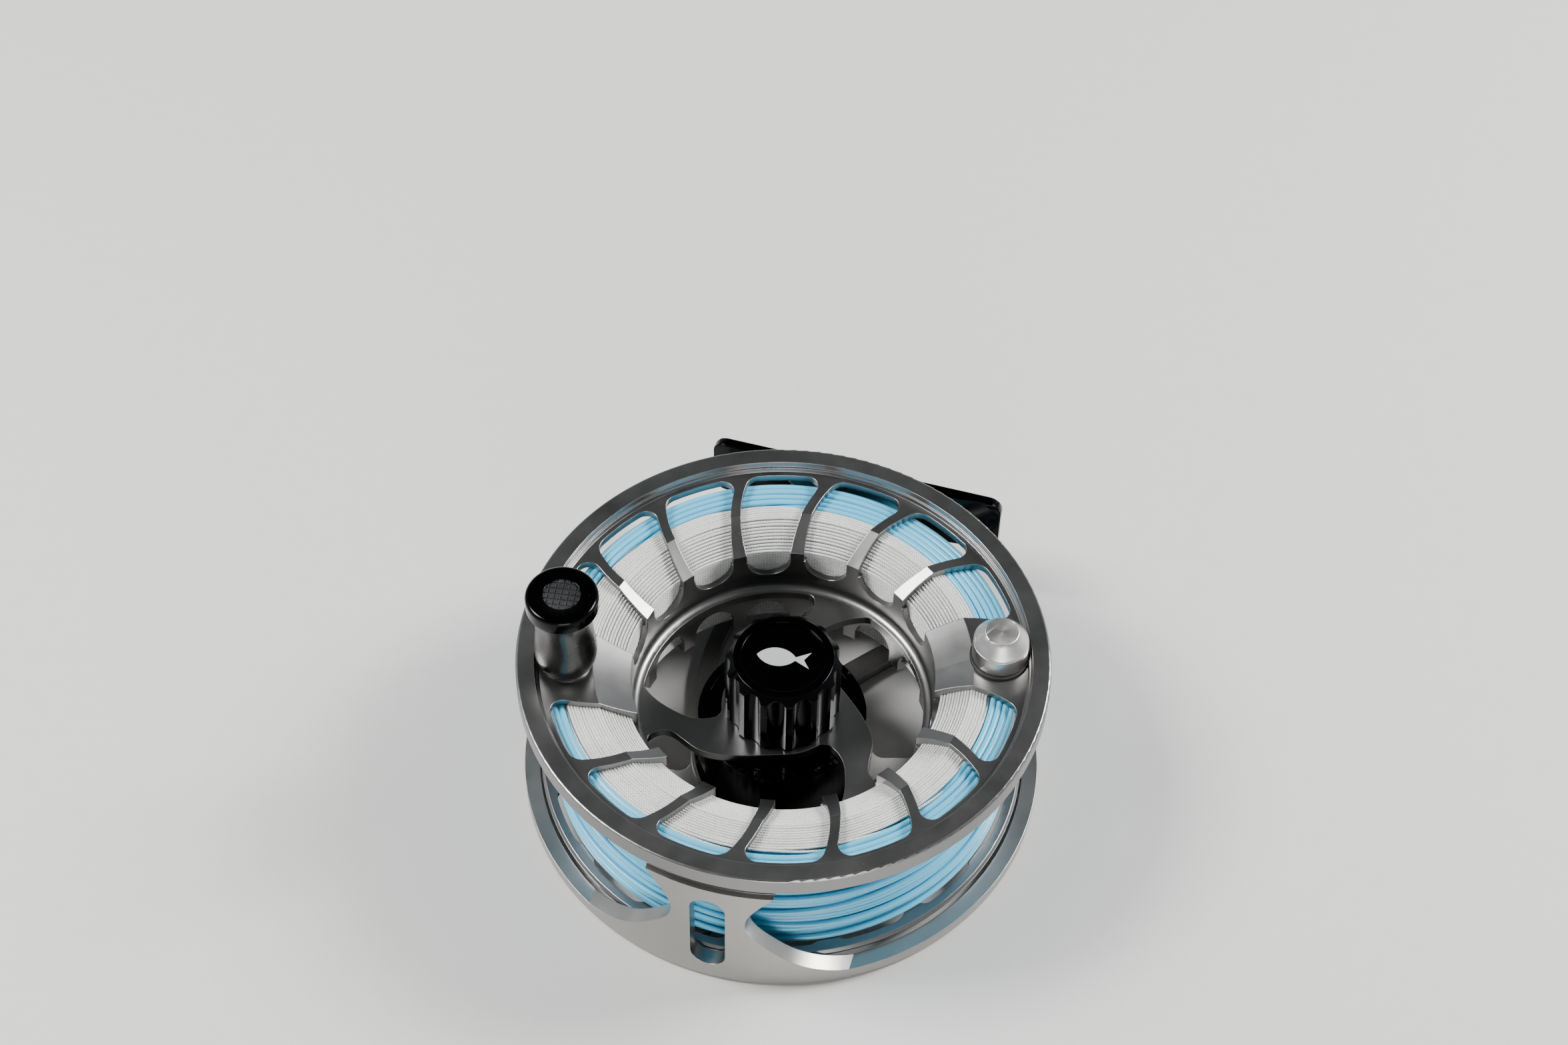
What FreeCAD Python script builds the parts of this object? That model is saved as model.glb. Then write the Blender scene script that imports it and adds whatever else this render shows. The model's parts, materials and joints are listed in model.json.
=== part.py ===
import FreeCAD, Part
import math
import os
from FreeCAD import Vector

# Large-arbour fly reel, lying on its back.  Millimetres.  The spool axis is Z, the origin is on
# that axis at the back face of the frame, the handle side is up (+Z) and the reel foot is at +Y.

# ---- overall sizes --------------------------------------------------------------------------
DEPTH = 38.0              # back face of the frame to the front face of the palming rim
RIM_R = 52.5              # palming rim and frame, outside
SPOOL_TURN = 17.3         # how far the spool is turned from the counterweight lying on +X
SECTORS = 16              # windows and pads round one flange
RUN = 0.03                # radial clearance of a shaft turning or sliding in its bore
GAP = 0.3                 # air between neighbouring bodies that must not touch

# ---- spool ----------------------------------------------------------------------------------
RIM_LAND_R = RIM_R - 3.7  # inner edge of the flat land on the palming rim
RIM_STEP_R = RIM_R - 4.5  # foot of the stepped wall inside the land
RIM_DROP = 2.1            # land down to the dished face
RIM_SKIRT = 3.9           # height of the rim's outer wall
RIM_EDGE = 0.5            # rounding of the rim's outer edge
DISH_DROP = 2.5           # land down to that line
CONE_DROP = 6.65          # land down to the top of the arbour wall
ARBOUR_R = 30.1           # inside of the arbour wall
ARBOUR_T = 1.2
DISH_R = ARBOUR_R + 7.3   # where the dished face meets the cone
REAR_R = RIM_R - 3.5      # rear flange, outside
REAR_T = 1.3
REAR_GAP = 0.8            # rear flange above the frame ring
REAR_CONE_T = 2.2         # rear flange where it cones up to the arbour, measured along Z
CONE_SLOPE = 0.57         # rise over run of both cones
WINDOW_R = RIM_R - 5.5    # outer edge of the windows
SLOT_W = 8.75             # the windows' width where they run down the arbour wall
SLOT_TURN = 3.95          # how far a slot's middle lies round from the window's middle
SLOT_DROP = 13.7          # land down to the round end of the front slots
NOTCH_DROP = 22.8         # land down to the round end of the rear notches
ARMS_DROP = 17.5          # land down to the plate with the three arms
ARMS_T = 2.0
ARMS_RING_R = ARBOUR_R - 1.8    # inside of the ring that carries the arms
ARMS_FILLET = 1.6         # rounding between that ring and the arbour wall
HUB_R = 12.2              # disc at the middle of the arms
BOSS_R = 8.0              # bearing boss inside the knob
BOSS_H = 8.0

# ---- line on the spool ----------------------------------------------------------------------
LINE_R = REAR_R - 2.7     # outside of the wound fly line
BACKING_R = LINE_R - 4.9  # outside of the backing under it
FACE_LEAN = 1.15          # how much steeper the wound face is than the cone at the front
WIND_GAP = 0.1            # between the windings and the flanges

# ---- frame ----------------------------------------------------------------------------------
RING_IN_R = REAR_R + 0.4  # inside of the frame ring
RING_T = 3.6
RING_EDGE = 0.8           # bevel round the back of the ring
SPOKE_T = 2.8
SPOKE_W = 4.6
FRAME_HUB_R = 18.6
ARCH_WALL_R = RING_IN_R   # inside of the line guard and of the foot bridge
ARCH_DROP = 6.4           # land down to the shoulder of the line guard
TONGUE_R = (RIM_R - 2.9, RIM_R - 1.2)   # thin lip on that shoulder, hidden under the rim
TONGUE_GAP = 0.4          # lip to the underside of the rim
GUARD_SLOT_W = 7.0        # slot in the line guard
GUARD_SLOT_LOW = RING_T + 1.4
GUARD_SLOT_HIGH = DEPTH - ARCH_DROP - 3.8
SPOKES = ((5, 17), (77, 58), (163, 105), (220, 183), (285, 260))   # degrees at hub and at ring

# ---- reel foot ------------------------------------------------------------------------------
FOOT_L = 63.0
FOOT_W = 15.0
FOOT_T = 3.0
FOOT_TOP = RIM_R + 6.2    # outer face of the foot from the spool axis
FOOT_CORNER = 3.0
PAD_L = 27.0              # block between the foot bridge and the foot
PAD_W = 11.0
FOOT_SCREW_X = 9.0
FOOT_SCREW_R = 1.5

# ---- drag canister and spindle --------------------------------------------------------------
DRAG_R = 17.0
DRAG_WALL = 1.8
DRAG_FLOOR = 1.8
LID_GAP = 0.3             # canister's lid to the underside of the arms
DRAG_FOOT_R = 17.9
LID_T = 1.2
SPINDLE_R = 3.0
SPINDLE_BORE = 1.3
SPINDLE_RISE = 11.9       # spindle's tip above the arms
SPINDLE_FLANGE = (5.0, 1.0)     # radius, thickness
NUT_R = 5.6
NUT_T = 2.2
CAP_R = 9.0               # cap over the nut at the back
CAP_T = 0.8
HOUSING_SCREW_R = 1.25
HOUSING_SCREW_PCR = 12.5
DISC_T = 0.6
DISC_PITCH = 0.63
DISC_PAIRS = 3
PLATE_T = 0.9
SPRING_H = 1.4
COLLAR_T = 0.6
PIN_R = 0.7
PIN_L = 10.0
PRESS_TRAVEL = 1.0        # how far the drag knob pushes the rod down
DRUM_WALL = 1.1
DRUM_GAP = 0.6            # drum to canister wall
DRIVE_R = 8.6             # flange of the drive hub, turning in the seal
DRIVE_BORE = 4.3
DOG_R = (6.6, 7.8)
DOG_H = 1.4
DOG_W = 2.8
DOGS = 4
CLUTCH_R = (6.2, 8.2)
SEAL_R = 10.2

# ---- bearings -------------------------------------------------------------------------------
SLEEVE_R = 4.0
BEARING_R = 6.0
BEARING_W = 2.8

# ---- drag knob ------------------------------------------------------------------------------
KNOB_R = 11.5
KNOB_TOP_R = 10.2
KNOB_TOP_DROP = 1.3       # land of the rim down to the top of the knob
KNOB_CHAMFER_H = 1.5
KNOB_HOLLOW_R = 9.2
FLUTES = 14
FLUTE_R = 2.6
FLUTE_DEPTH = 0.95
FLUTE_TURN = 4.8          # first flute, round from the counterweight
KNOB_DISC_R = 8.4
KNOB_DISC_T = 1.3
KNOB_DISC_SINK = 0.4
MARK_L = 10.6             # inlaid mark
MARK_H = 4.4
MARK_T = 0.06
INSERT_R = 6.4

# ---- handle ---------------------------------------------------------------------------------
HANDLE_R = RIM_R - 10.0   # spool axis to handle axis
HANDLE_H = 22.0           # flange to the top of the cap
HANDLE_CAP_R = 7.1
HANDLE_CAP_H = 3.2
GRIP = ((4.9, 0.9), (5.5, 1.8), (6.15, 5.2), (5.95, 8.0), (5.6, 12.0), (5.85, 15.6), (6.5, 18.4))
POST_R = 2.4
POST_FLANGE_R = 4.6
POST_FLANGE_T = 0.6
GRIP_BORE = 3.4
BUSH_H = 3.0
INSERT_DISC_R = 3.6
INSERT_DISC_T = 0.7
WAFFLE = 1.3              # pitch of the insert's raised squares

# ---- counterweight --------------------------------------------------------------------------
WEIGHT_R = 5.5
WEIGHT_TOP_R = 3.3
WEIGHT_BODY_H = 5.0
WEIGHT_CONE_H = 2.7
WEIGHT_SEAL_R = 5.9
WEIGHT_SEAL_T = 0.8
WEIGHT_SCREW_R = 1.5
SEAT_GAP = 0.1            # round what stands in a flat seat milled in the dished face

# ---- heights worked out from the sizes above --------------------------------------------------
Z_DISH = DEPTH - DISH_DROP                    # dished face at the cone's outer edge
Z_CONE = DEPTH - CONE_DROP                    # top of the arbour wall
Z_UNDER = DEPTH - RIM_SKIRT + 0.1             # underside of the front flange
Z_PAD = Z_DISH + 0.12                         # seat of handle and counterweight
Z_REAR_LOW = RING_T + REAR_GAP                # underside of the rear flange
Z_REAR = Z_REAR_LOW + REAR_T                  # winding side of the rear flange
Z_ARMS = DEPTH - ARMS_DROP                    # upper face of the arms
Z_ARMS_LOW = Z_ARMS - ARMS_T
Z_LID = Z_ARMS_LOW - LID_GAP                  # top of the drag canister
SPINDLE_H = Z_ARMS + SPINDLE_RISE             # back face to the spindle's tip
Z_FLOOR = RING_T + DRAG_FLOOR                 # inside floor of the canister
Z_STACK = Z_FLOOR + SPINDLE_FLANGE[1] + 0.1   # lowest drag disc
Z_PLATE = Z_STACK + 2 * DISC_PAIRS * DISC_PITCH
Z_SPRING = Z_PLATE + PLATE_T
Z_COLLAR = Z_SPRING + SPRING_H
Z_PIN = Z_COLLAR + COLLAR_T + PIN_R
Z_DRUM_TOP = Z_LID - LID_T - GAP              # top of the rotor drum
Z_DRIVE_TOP = Z_ARMS_LOW - 0.15               # top of the drive hub's flange
Z_SLEEVE = Z_ARMS_LOW + 0.1                   # foot of the bearing sleeve
Z_SLEEVE_TOP = SPINDLE_H - 0.5
Z_BOSS_TOP = Z_ARMS + BOSS_H
Z_KNOB = Z_ARMS + GAP                         # foot of the knob
Z_KNOB_TOP = DEPTH - KNOB_TOP_DROP
Z_KNOB_ROOF = Z_BOSS_TOP + GAP                # roof of the hollow round the boss
Z_DISC = Z_KNOB_TOP - KNOB_DISC_SINK - KNOB_DISC_T
Z_TIP = SPINDLE_H + 0.7                       # roof of the pocket over the spindle's tip
DRUM_R = DRAG_R - DRAG_WALL - DRUM_GAP     # outside of the rotor drum
DRUM_IN = DRUM_R - DRUM_WALL
ARBOUR_OUT = ARBOUR_R + ARBOUR_T
Z_POST = Z_PAD + HANDLE_H - HANDLE_CAP_H - 1.6   # top of the handle post
REAR_BEARING_Z = Z_ARMS_LOW + DOG_H + 0.5
FRONT_BEARING_Z = Z_BOSS_TOP - BEARING_W - 0.6


# ---- helpers --------------------------------------------------------------------------------
def polar(r, deg, z=0.0):
    """Point at radius r and an angle in degrees."""
    a = math.radians(deg)
    return Vector(r * math.cos(a), r * math.sin(a), z)


def disc(r, z0, z1, at=Vector(0, 0, 0)):
    """Round bar along Z."""
    return Part.makeCylinder(r, z1 - z0, Vector(at.x, at.y, z0))


def ring(r_in, r_out, z0, z1, at=Vector(0, 0, 0)):
    """Tube or washer along Z."""
    return disc(r_out, z0, z1, at).cut(disc(r_in, z0 - 1, z1 + 1, at))


def turned(profile, at=Vector(0, 0, 0)):
    """Solid of revolution from a closed outline of (radius, z) corners."""
    points = [Vector(r, 0, z) for r, z in profile]
    face = Part.Face(Part.makePolygon(points + points[:1]))
    solid = face.revolve(Vector(0, 0, 0), Vector(0, 0, 1), 360)
    return moved(solid, at)


def moved(shape, at):
    """The shape carried to a place."""
    out = shape.copy()
    out.translate(at)
    return out


def spun(shape, deg, at=Vector(0, 0, 0)):
    """A copy turned about the Z line through a point."""
    out = shape.copy()
    out.rotate(at, Vector(0, 0, 1), deg)
    return out


def around(shape, count, start=0.0, skip=()):
    """Copies of a shape spaced evenly round Z."""
    return [spun(shape, start + 360.0 * i / count) for i in range(count) if i not in skip]


def prism(edges, z0, z1):
    """Solid with a closed outline drawn at z = 0."""
    face = Part.Face(Part.Wire(Part.__sortEdges__(edges)))
    return moved(face.extrude(Vector(0, 0, z1 - z0)), Vector(0, 0, z0))


def arc(a, b, c):
    """Arc from a through b to c."""
    return Part.Arc(a, b, c).toShape()


def line(a, b):
    """Straight edge."""
    return Part.LineSegment(a, b).toShape()


def spline(points):
    """Smooth edge through points."""
    curve = Part.BSplineCurve()
    curve.interpolate(points)
    return curve.toShape()


def round_upright(solid, radius, near=None):
    """Round the edges that run along Z, or only those close to the given points."""
    edges = []
    for edge in solid.Edges:
        a, b = edge.Vertexes[0].Point, edge.Vertexes[-1].Point
        upright = abs(a.x - b.x) < 1e-6 and abs(a.y - b.y) < 1e-6 and abs(a.z - b.z) > 1e-3
        flat_point = Vector(a.x, a.y, 0)
        if upright and (near is None or any(flat_point.distanceToPoint(p) < 0.1 for p in near)):
            edges.append(edge)
    return solid.makeFillet(radius, edges)


def hexagon(across_flats, z0, z1):
    """Hexagonal bar along Z."""
    r = across_flats / math.sqrt(3)
    points = [polar(r, 60 * i) for i in range(7)]
    return moved(Part.Face(Part.makePolygon(points)).extrude(Vector(0, 0, z1 - z0)), Vector(0, 0, z0))


def countersunk(r, head_r, head_h, length):
    """Countersunk screw that points down, with its flat head at z = 0."""
    return turned([(0, 0), (head_r, 0), (r, -head_h), (r, -length), (0, -length)])


# ---- spool ----------------------------------------------------------------------------------
def rear_cone_z(r):
    """Winding side of the rear flange at a radius inside the dish line."""
    return Z_REAR + (DISH_R - r) * CONE_SLOPE


def front_under_z(r):
    """Winding side of the front flange at a radius inside the dish line."""
    return Z_UNDER - (DISH_R - r) * CONE_SLOPE * FACE_LEAN


def spool_blank():
    """Both flanges and the arbour wall, before the windows are cut."""
    rear_in_z = rear_cone_z(ARBOUR_R) - REAR_CONE_T
    rear_flat_r = ARBOUR_R + (rear_in_z - Z_REAR_LOW) / CONE_SLOPE
    outline = [
        (RIM_R, DEPTH), (RIM_LAND_R, DEPTH), (RIM_LAND_R - 0.25, DEPTH - 1.1),
        (RIM_STEP_R + 0.2, DEPTH - 1.2), (RIM_STEP_R, DEPTH - RIM_DROP), (DISH_R, Z_DISH),
        (ARBOUR_R, Z_CONE), (ARBOUR_R, rear_in_z), (rear_flat_r, Z_REAR_LOW),
        (REAR_R - 0.3, Z_REAR_LOW), (REAR_R, Z_REAR_LOW + 0.3), (REAR_R, Z_REAR - 0.5),
        (REAR_R - 0.5, Z_REAR), (DISH_R, Z_REAR), (ARBOUR_OUT, rear_cone_z(ARBOUR_OUT)),
        (ARBOUR_OUT, front_under_z(ARBOUR_OUT)), (DISH_R, Z_UNDER), (RIM_STEP_R, Z_UNDER),
        (RIM_STEP_R + 0.3, DEPTH - RIM_SKIRT), (RIM_R, DEPTH - RIM_SKIRT)]
    blank = turned(outline)
    rim = [e for e in blank.Edges if e.Vertexes[0].Point.z > DEPTH - 0.01
           and abs(math.hypot(e.Vertexes[0].Point.x, e.Vertexes[0].Point.y) - RIM_R) < 0.01
           and len(e.Vertexes) == 1]
    return blank.makeFillet(RIM_EDGE, rim)


def window_outline(z0, z1):
    """One leaning window, from inside the arbour wall out to the window radius."""
    x_in, x_mid = ARBOUR_R - 3.1, DISH_R
    low_in, low_mid, low_out = Vector(x_in, -1.6, 0), Vector(x_mid + 0.3, -4.96, 0), polar(WINDOW_R, -12.4)
    top_in, top_mid, top_out = Vector(x_in, 5.8, 0), Vector(x_mid - 0.2, 7.8, 0), polar(WINDOW_R, 7.0)
    edges = [arc(low_in, low_mid, low_out), arc(low_out, polar(WINDOW_R, -2), top_out),
             arc(top_out, top_mid, top_in), line(top_in, low_in)]
    cut = prism(edges, z0, z1)
    cut = round_upright(cut, 2.4, [low_out])
    return round_upright(cut, 3.2, [top_out])


def wall_slot(z_end, z_open):
    """Slot through the arbour wall, round at z_end and open at z_open."""
    half = SLOT_W / 2
    low, high = sorted((z_end + math.copysign(half, z_open - z_end), z_open))
    box = Part.makeBox(6, SLOT_W, high - low, Vector(ARBOUR_R - 3, -half, low))
    z_mid = z_end + math.copysign(half, z_open - z_end)
    tip = Part.makeCylinder(half, 6, Vector(ARBOUR_R - 3, 0, z_mid), Vector(1, 0, 0))
    return spun(box.fuse(tip), SLOT_TURN)


def between(share, deg):
    """Point at an angle, a share of the way from the hub disc out to the ring of the arms."""
    return polar(HUB_R + share * (ARMS_RING_R - HUB_R), deg)


def arms_pocket():
    """One of the three openings between the arms."""
    ring_a, ring_b = between(1, 195.5), between(1, 289.5)
    hub_a, hub_b = between(0, 268), between(0, 310)
    long_edge = spline([hub_a, between(0.05, 251), between(0.3, 225), between(0.503, 210.5),
                        between(0.714, 194.5), ring_a])
    short_edge = spline([ring_b, between(0.82, 296.2), between(0.609, 302.6),
                         between(0.373, 309.5), between(0.186, 312), hub_b])
    edges = [long_edge, arc(ring_a, polar(ARMS_RING_R, 242), ring_b), short_edge,
             arc(hub_b, polar(HUB_R, 289), hub_a)]
    pocket = prism(edges, Z_ARMS_LOW - 1, Z_ARMS + ARMS_FILLET + 1)
    pocket = round_upright(pocket, 2.2, [ring_b, hub_b])
    return round_upright(pocket, 1.6, [ring_a])


def arms_plate():
    """Ring, three swirling arms and the hub disc, with the bearing boss."""
    plate = disc(ARBOUR_R + 0.1, Z_ARMS_LOW, Z_ARMS)
    corner = Vector(ARBOUR_R + 0.1, 0, Z_ARMS)
    top = Vector(ARBOUR_R + 0.1, 0, Z_ARMS + ARMS_FILLET)
    foot = Vector(ARBOUR_R - ARMS_FILLET, 0, Z_ARMS)
    mid = Vector(ARBOUR_R - 0.29 * ARMS_FILLET, 0, Z_ARMS + 0.29 * ARMS_FILLET)
    wire = Part.Wire([line(corner, top), arc(top, mid, foot), line(foot, corner)])
    cove = Part.Face(wire).revolve(Vector(0, 0, 0), Vector(0, 0, 1), 360)
    plate = plate.fuse(cove)
    for pocket in around(arms_pocket(), 3):
        plate = plate.cut(pocket)
    boss = disc(BOSS_R, Z_ARMS - 0.5, Z_BOSS_TOP)
    plate = plate.fuse(boss)
    plate = plate.cut(disc(BEARING_R, FRONT_BEARING_Z, Z_BOSS_TOP + 1))
    plate = plate.cut(disc(BEARING_R, Z_ARMS_LOW - 1, REAR_BEARING_Z + BEARING_W))
    plate = plate.cut(disc(BEARING_R - 0.8, Z_ARMS_LOW, Z_BOSS_TOP))
    dog_slot = Part.makeBox(BOSS_R - BEARING_R + 1.4, DOG_W + 0.2, DOG_H + 0.3,
                            Vector(BEARING_R - 0.4, -DOG_W / 2 - 0.1, Z_ARMS_LOW - 0.1))
    for slot in around(dog_slot, DOGS):
        plate = plate.cut(slot)
    return plate


def spool():
    """Windowed spool with its palming rim and arms."""
    pads = (0, SECTORS // 2)
    body = spool_blank()
    cuts = around(window_outline(Z_CONE - 2.5, DEPTH + 1), SECTORS, 0, pads)
    cuts += around(window_outline(Z_REAR_LOW - 1, rear_cone_z(ARBOUR_R) + 1), SECTORS)
    cuts += around(wall_slot(DEPTH - SLOT_DROP, Z_DISH + 2), SECTORS, 0, pads)
    cuts += around(wall_slot(DEPTH - NOTCH_DROP, Z_REAR_LOW - 1), SECTORS)
    body = body.cut(cuts)
    body = body.fuse(arms_plate())
    body = body.cut(disc(POST_R, Z_UNDER - 1, DEPTH, handle_at(False)))
    body = body.cut(disc(POST_FLANGE_R + SEAT_GAP, Z_PAD, DEPTH + 1, handle_at(False)))
    body = body.cut(disc(WEIGHT_SEAL_R + SEAT_GAP, Z_PAD, DEPTH + 1, weight_at(False)))
    body = body.cut(moved(countersunk(WEIGHT_SCREW_R, 2.6, 1.1, 4), weight_at(False))
                    .mirror(Vector(0, 0, 0), Vector(0, 0, 1))
                    .translate(Vector(0, 0, Z_UNDER)))
    return spun(body.removeSplitter(), SPOOL_TURN)


def handle_at(turned_spool=True):
    """Place of the handle axis."""
    return polar(HANDLE_R, 180 + (SPOOL_TURN if turned_spool else 0))


def weight_at(turned_spool=True):
    """Place of the counterweight, opposite the handle."""
    return polar(HANDLE_R, SPOOL_TURN if turned_spool else 0)


def winding(r_in, r_out):
    """Wound line between the flanges, from one radius to another."""
    def low(r):
        return Z_REAR + WIND_GAP + max(0.0, DISH_R - r) * CONE_SLOPE

    def high(r):
        return Z_UNDER - WIND_GAP - max(0.0, DISH_R - r) * CONE_SLOPE * FACE_LEAN
    radii = [r_in] + ([DISH_R] if r_in < DISH_R < r_out else []) + [r_out]
    outline = [(r, low(r)) for r in radii] + [(r, high(r)) for r in reversed(radii)]
    return turned(outline)


def backing():
    """White braided backing under the fly line."""
    return winding(ARBOUR_OUT + WIND_GAP, BACKING_R)


def fly_line():
    """Fly line wound over the backing."""
    return winding(BACKING_R, LINE_R)


def bearing(z):
    """Ball bearing as one ring."""
    return ring(SLEEVE_R + RUN, BEARING_R, z, z + BEARING_W)


def bearing_circlip():
    """Split ring that keeps the front bearing in the boss."""
    z = FRONT_BEARING_Z + BEARING_W
    clip = ring(BEARING_R - 0.9, BEARING_R, z, z + 0.5)
    return clip.cut(Part.makeBox(4, 1.6, 2, Vector(BEARING_R - 2, -0.8, z - 0.5)))


# ---- handle and counterweight -----------------------------------------------------------------
def handle_post():
    """Steel post riveted into the spool, with the shoulder that the grip turns on."""
    low, shoulder = Z_UNDER + 0.1, Z_PAD + POST_FLANGE_T
    return turned([(0, low), (POST_R, low), (POST_R, Z_PAD), (POST_FLANGE_R, Z_PAD),
                   (POST_FLANGE_R, shoulder), (POST_R, shoulder), (POST_R, Z_POST),
                   (0, Z_POST)], handle_at())


def handle_screw():
    """Screw on the post that keeps the grip on."""
    return ring(0.6, GRIP_BORE - 0.3, Z_POST, Z_POST + 0.9, handle_at())


def handle_grip():
    """Waisted grip with a through bore."""
    points = [Vector(r, 0, Z_PAD + z) for r, z in GRIP]
    top = Vector(GRIP_BORE + 0.3, 0, Z_PAD + GRIP[-1][1])
    wire = Part.Wire([spline(points), line(points[-1], top),
                      line(top, Vector(top.x, 0, points[0].z)),
                      line(Vector(top.x, 0, points[0].z), points[0])])
    grip = Part.Face(wire).revolve(Vector(0, 0, 0), Vector(0, 0, 1), 360)
    return moved(grip, handle_at())


def handle_bushes():
    """Two plain bushes in the grip."""
    z_low = Z_PAD + GRIP[0][1]
    z_high = Z_POST - 0.2 - BUSH_H
    one = ring(POST_R + RUN, GRIP_BORE + 0.3, z_low, z_low + BUSH_H, handle_at())
    return Part.makeCompound([one, moved(one, Vector(0, 0, z_high - z_low))])


def handle_cap():
    """Black end cap, hollow over the screw, with a seat for the insert."""
    z0, z1 = Z_PAD + GRIP[-1][1], Z_PAD + HANDLE_H
    cap = disc(HANDLE_CAP_R, z0, z1)
    low, high = [[e for e in cap.Edges if len(e.Vertexes) == 1
                  and abs(e.Vertexes[0].Point.z - z) < 1e-6] for z in (z0, z1)]
    cap = cap.makeFillet(0.9, high).makeFillet(0.5, low)
    cap = cap.cut(disc(INSERT_DISC_R, z1 - INSERT_DISC_T, z1 + 1))
    cap = cap.cut(disc(GRIP_BORE, z0 - 1, z0 + 0.9))
    return moved(cap, handle_at())


def handle_insert():
    """Disc with a waffle of raised squares."""
    z1 = Z_PAD + HANDLE_H - 0.05
    disk = disc(INSERT_DISC_R - 0.02, z1 - INSERT_DISC_T + 0.06, z1)
    for i in range(-3, 4):
        for long_x in (True, False):
            size = (9, 0.35) if long_x else (0.35, 9)
            groove = Part.makeBox(size[0], size[1], 1, Vector(-size[0] / 2, -size[1] / 2, z1 - 0.25))
            step = Vector(0, WAFFLE * i, 0) if long_x else Vector(WAFFLE * i, 0, 0)
            disk = disk.cut(moved(groove, step))
    return moved(spun(disk, 8), handle_at())


def counterweight():
    """Turned steel weight with a coned, flat-topped head."""
    z0 = Z_PAD + WEIGHT_SEAL_T
    z1 = Z_PAD + WEIGHT_BODY_H + 0.7
    z2 = z1 + WEIGHT_CONE_H
    body = turned([(WEIGHT_R - 0.3, z0), (WEIGHT_R, z0 + 0.3), (WEIGHT_R, z1 - 0.6),
                   (WEIGHT_R - 0.25, z1 - 0.45), (WEIGHT_R - 0.25, z1 - 0.3), (WEIGHT_R, z1 - 0.15),
                   (WEIGHT_R - 0.1, z1), (WEIGHT_TOP_R, z2), (0, z2), (0, z0)])
    return moved(body.cut(disc(WEIGHT_SCREW_R, z0 - 1, z0 + 3.2)), weight_at())


def counterweight_seal():
    """Black rubber washer under the weight."""
    ring_ = ring(WEIGHT_SCREW_R + 0.1, WEIGHT_SEAL_R, Z_PAD, Z_PAD + WEIGHT_SEAL_T)
    return moved(ring_, weight_at())


def counterweight_screw():
    """Screw up through the flange into the weight."""
    screw = countersunk(WEIGHT_SCREW_R, 2.6, 1.1, 1.6 + WEIGHT_SEAL_T + 3.0)
    screw = screw.mirror(Vector(0, 0, 0), Vector(0, 0, 1))
    return moved(screw, weight_at() + Vector(0, 0, Z_UNDER))


# ---- drag knob --------------------------------------------------------------------------------
def knob():
    """Fluted knob, hollow over the bearing boss and the spindle's tip."""
    body = turned([(KNOB_R - 0.3, Z_KNOB), (KNOB_R, Z_KNOB + 0.3),
                   (KNOB_R, Z_KNOB_TOP - KNOB_CHAMFER_H), (KNOB_TOP_R, Z_KNOB_TOP - 0.3),
                   (KNOB_TOP_R - 0.3, Z_KNOB_TOP), (0, Z_KNOB_TOP), (0, Z_KNOB)])
    mill = disc(FLUTE_R, Z_KNOB - 1, Z_KNOB_TOP + 1, Vector(KNOB_R + FLUTE_R - FLUTE_DEPTH, 0, 0))
    body = body.cut(around(mill, FLUTES, SPOOL_TURN + FLUTE_TURN))
    body = body.cut(disc(KNOB_HOLLOW_R, Z_KNOB - 1, Z_KNOB_ROOF))
    body = body.cut(disc(INSERT_R, Z_KNOB, Z_SLEEVE_TOP))
    body = body.cut(disc(SLEEVE_R + 0.4, Z_KNOB, Z_TIP))
    return body.cut(disc(KNOB_DISC_R, Z_DISC, Z_KNOB_TOP + 1))


def knob_insert():
    """Threaded brass nut pressed into the knob."""
    return ring(SLEEVE_R + RUN, INSERT_R, Z_KNOB_ROOF, Z_SLEEVE_TOP)


def knob_disc():
    """Black disc let into the top of the knob."""
    return disc(KNOB_DISC_R - 0.02, Z_DISC, Z_DISC + KNOB_DISC_T)


def knob_mark():
    """Plain fish outline inlaid in the disc, which shows the drag setting."""
    z0, z1 = Z_DISC + KNOB_DISC_T, Z_DISC + KNOB_DISC_T + MARK_T
    half, nose, root = MARK_L / 2, Vector(-MARK_L / 2, 0, 0), Vector(MARK_L * 0.25, 0, 0)
    body = prism([arc(nose, Vector(-MARK_L * 0.12, MARK_H / 2, 0), root),
                  arc(root, Vector(-MARK_L * 0.12, -MARK_H / 2, 0), nose)], z0, z1)
    tail = [Vector(MARK_L * 0.15, 0, z0), Vector(half, MARK_H * 0.45, z0),
            Vector(MARK_L * 0.38, 0, z0), Vector(half, -MARK_H * 0.45, z0)]
    tail = Part.Face(Part.makePolygon(tail + tail[:1])).extrude(Vector(0, 0, z1 - z0))
    return spun(body.fuse(tail).removeSplitter(), SPOOL_TURN - 10)


# ---- drag and spindle -------------------------------------------------------------------------
def drag_housing():
    """Sealed canister that stands on the frame's hub."""
    can = disc(DRAG_R, RING_T, Z_LID).fuse(disc(DRAG_FOOT_R, RING_T, RING_T + 0.8))
    can = can.cut(disc(DRAG_R - DRAG_WALL, Z_FLOOR, Z_LID + 1))
    can = can.cut(disc(SPINDLE_R, RING_T - 1, Z_FLOOR + 1))
    holes = around(disc(HOUSING_SCREW_R, RING_T - 1, Z_FLOOR - 0.5,
                        polar(HOUSING_SCREW_PCR, 0)), 3, 30)
    return can.cut(holes).removeSplitter()


def drag_lid():
    """Lid of the canister, with a seat for the seal."""
    lid = ring(DRIVE_R + 0.5, DRAG_R - DRAG_WALL, Z_LID - LID_T, Z_LID)
    return lid.cut(disc(SEAL_R, Z_LID - 0.7, Z_LID + 1))


def drag_seal():
    """Rubber seal that the drive hub turns in."""
    return ring(DRIVE_R + 0.05, SEAL_R, Z_LID - 0.7, Z_LID)


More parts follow.
